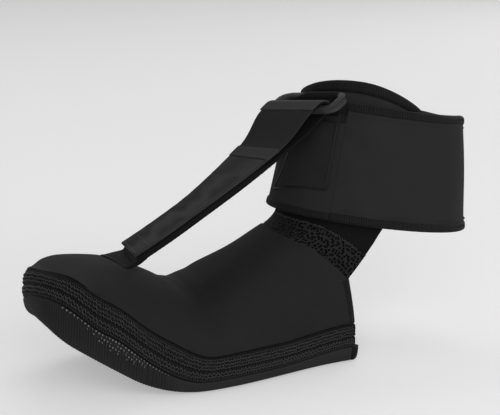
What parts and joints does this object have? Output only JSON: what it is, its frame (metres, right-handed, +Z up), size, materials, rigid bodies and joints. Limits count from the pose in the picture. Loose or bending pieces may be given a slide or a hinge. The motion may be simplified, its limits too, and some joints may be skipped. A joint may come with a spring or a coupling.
{
  "type": "ankle foot orthosis",
  "caption": "Soft ankle foot orthosis: closed-toe, open-heel sock with a curled-up sole, a wrap-round ankle cuff and a strap that pulls the toes up through a ring.",
  "frame": {"origin": "on the flat underside of the sole, on the centre line, 44 mm behind the ball of the foot", "axes": "+X from the toes to the heel, -Y the side that carries the cuff's sewn edge, +Z up from the sole to the leg"},
  "size_m": [0.2535, 0.0962, 0.1507],
  "materials": {
    "upper_jersey": "smooth matte jersey bonded over soft foam rubber",
    "sole_grip": "ribbed grip cloth with rows of raised rubber dots",
    "seam_tape": "zigzag-stitched stretch tape",
    "mesh_tape": "stretch tape with a pattern of round pores",
    "foam": "brushed lining over foam",
    "cuff_cloth": "smooth knitted cloth bonded over foam rubber",
    "binding": "overlocked edge binding",
    "webbing": "soft woven elastic webbing",
    "hook_tape_back": "woven back of hook tape, ribbed lengthwise",
    "loop_pile": "brushed loop and hook closure tape",
    "ring_plastic": "moulded grey-black plastic, satin"
  },
  "bodies": {
    "foot": {"upper_midfoot": "upper_jersey", "upper_lining": "foam", "footbed": "foam", "heel_binding_near": "binding", "heel_binding_far": "binding", "sole_midfoot": "sole_grip", "sole_rear_binding": "binding", "seam_tape_near": "seam_tape", "seam_tape_far": "seam_tape", "mesh_tape": "mesh_tape", "ankle_panel": "upper_jersey"},
    "toes": {"toe_box": "upper_jersey", "toe_footbed": "foam", "sole_toe": "sole_grip", "toe_seam_tape": "seam_tape", "strap_anchor": "webbing"},
    "strap": {"strap_lower": "webbing"},
    "strap_end": {"strap_return": "webbing", "strap_hem": "webbing", "hook_tape": "hook_tape_back"},
    "cuff": {"cuff_wrap": "cuff_cloth", "wrap_binding_bottom": "binding", "wrap_binding_top": "binding", "closure_loop": "loop_pile", "tongue": "cuff_cloth", "tongue_binding": "binding", "ring_patch": "cuff_cloth", "ring_keeper": "webbing"},
    "flap": {"cuff_flap": "cuff_cloth", "flap_binding_bottom": "binding", "flap_binding_top": "binding", "flap_binding_end": "binding", "closure_hook": "loop_pile"},
    "ring_body": {"ring": "ring_plastic"}
  },
  "joints": [
    {"name": "ankle_flex", "type": "hinge", "parent": "foot", "child": "cuff", "pos_m": [0.072, 0, 0.0715], "axis": [0, 1, 0], "range_deg": [-2.5, 4.5]},
    {"name": "toe_flex", "type": "hinge", "parent": "foot", "child": "toes", "pos_m": [-0.045, 0, 0.002], "axis": [0, 1, 0], "range_deg": [-3.6, 6.4]},
    {"name": "strap_swing", "type": "hinge", "parent": "toes", "child": "strap", "pos_m": [-0.069, 0, 0.062], "axis": [0, 1, 0], "range_deg": [-7.5, 4.2]},
    {"name": "strap_peel", "type": "hinge", "parent": "strap", "child": "strap_end", "pos_m": [0.0115, -0.01925, 0.1352], "axis": [0.4523, -0.8876, 0.0872], "range_deg": [-90, 0]},
    {"name": "flap_open", "type": "hinge", "parent": "cuff", "child": "flap", "pos_m": [0.03112, -0.03203, 0.07801], "axis": [-0.1988, -0.0412, -0.9792], "range_deg": [0, 90]},
    {"name": "ring_swing", "type": "hinge", "parent": "cuff", "child": "ring_body", "pos_m": [0.03004, -0.01587, 0.14098], "axis": [0.4523, -0.8876, 0.0872], "range_deg": [-0.7, 1.3]}
  ],
  "couplings": [
    {"joint": "toe_flex", "follows": "ankle_flex", "ratio": 1.4},
    {"joint": "strap_swing", "follows": "ankle_flex", "ratio": -1.64}
  ]
}
